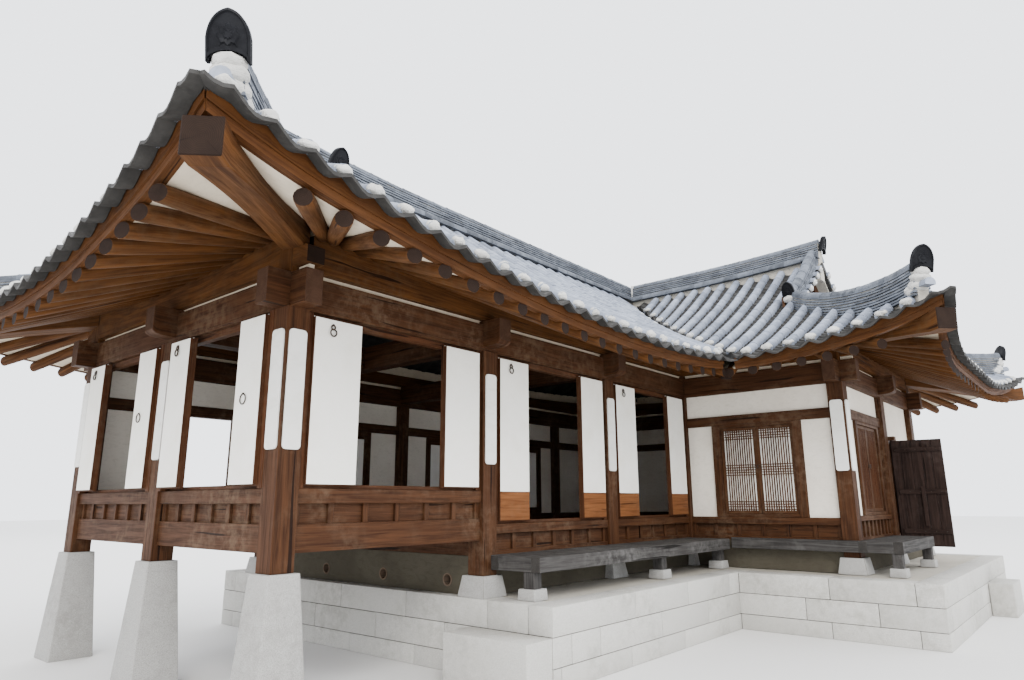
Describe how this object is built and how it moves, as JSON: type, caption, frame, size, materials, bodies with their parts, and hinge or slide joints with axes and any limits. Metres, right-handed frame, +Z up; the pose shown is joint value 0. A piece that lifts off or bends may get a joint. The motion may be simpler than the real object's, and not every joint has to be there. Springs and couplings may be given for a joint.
{
  "type": "hanok house",
  "caption": "Korean timber house on a stone platform, L-shaped, with a raised room on stone pillars, folding paper windows, a plank door and a curved tiled hip-and-gable roof.",
  "frame": {"origin": "centre of the bounding box at the lowest ground", "axes": "+Z up, +X east along the long front, +Y north to the back; the pictured front faces -Y and the raised room stands at the -X end"},
  "size_m": [14.6338, 9.8826, 6.1971],
  "materials": {
    "granite": "dressed pale granite",
    "plaster": "lime plaster",
    "dark_wood": "oiled brown pine",
    "grey_wood": "weathered grey pine",
    "window_paper": "white mulberry paper on wooden leaves",
    "roof_tile": "grey fired clay tiles"
  },
  "bodies": {
    "house": {"stone_platform": "granite", "west_stone_step": "granite", "door_stone_step": "granite", "front_stone_pillar": "granite", "middle_stone_pillar": "granite", "rear_stone_pillar": "granite", "foundation_wall": "plaster", "inner_plaster": "plaster", "wing_end_plaster": "plaster", "door_bay_plaster": "plaster", "west_frame": "dark_wood", "front_frame": "dark_wood", "inner_frame": "dark_wood", "wing_end_frame": "dark_wood", "door_frame": "dark_wood", "north_wall": "dark_wood", "east_wall": "dark_wood", "inner_lattice_window": "dark_wood", "wing_end_lattice_window": "dark_wood", "west_gable": "dark_wood", "wing_gable": "dark_wood", "front_rafters": "dark_wood", "inner_rafters": "dark_wood", "west_rafters": "dark_wood", "wing_end_rafters": "dark_wood", "rear_rafters": "dark_wood", "east_rafters": "dark_wood", "southwest_corner_rafter": "dark_wood", "wing_southwest_corner_rafter": "dark_wood", "wing_southeast_corner_rafter": "dark_wood", "northwest_corner_rafter": "dark_wood", "northeast_corner_rafter": "dark_wood", "raised_floor": "grey_wood", "low_floor": "grey_wood", "front_porch": "grey_wood", "wing_porch": "grey_wood", "west_window_1": "window_paper", "west_window_2": "window_paper", "front_window_1": "window_paper", "front_window_2": "window_paper", "front_window_3": "window_paper", "front_roof_slope": "roof_tile", "west_roof_slope": "roof_tile", "rear_roof_slope": "roof_tile", "east_roof_slope": "roof_tile", "wing_end_roof_slope": "roof_tile", "inner_roof_slope": "roof_tile", "main_ridge": "roof_tile", "wing_ridge": "roof_tile", "southwest_hip_ridge": "roof_tile", "wing_southwest_hip_ridge": "roof_tile"},
    "door": {"door_leaf": "dark_wood"}
  },
  "joints": [
    {"name": "door_hinge", "type": "hinge", "parent": "house", "child": "door", "pos_m": [3.69, -3.3886, 1.78], "axis": [0, 0, 1], "range_deg": [0, 90]}
  ]
}
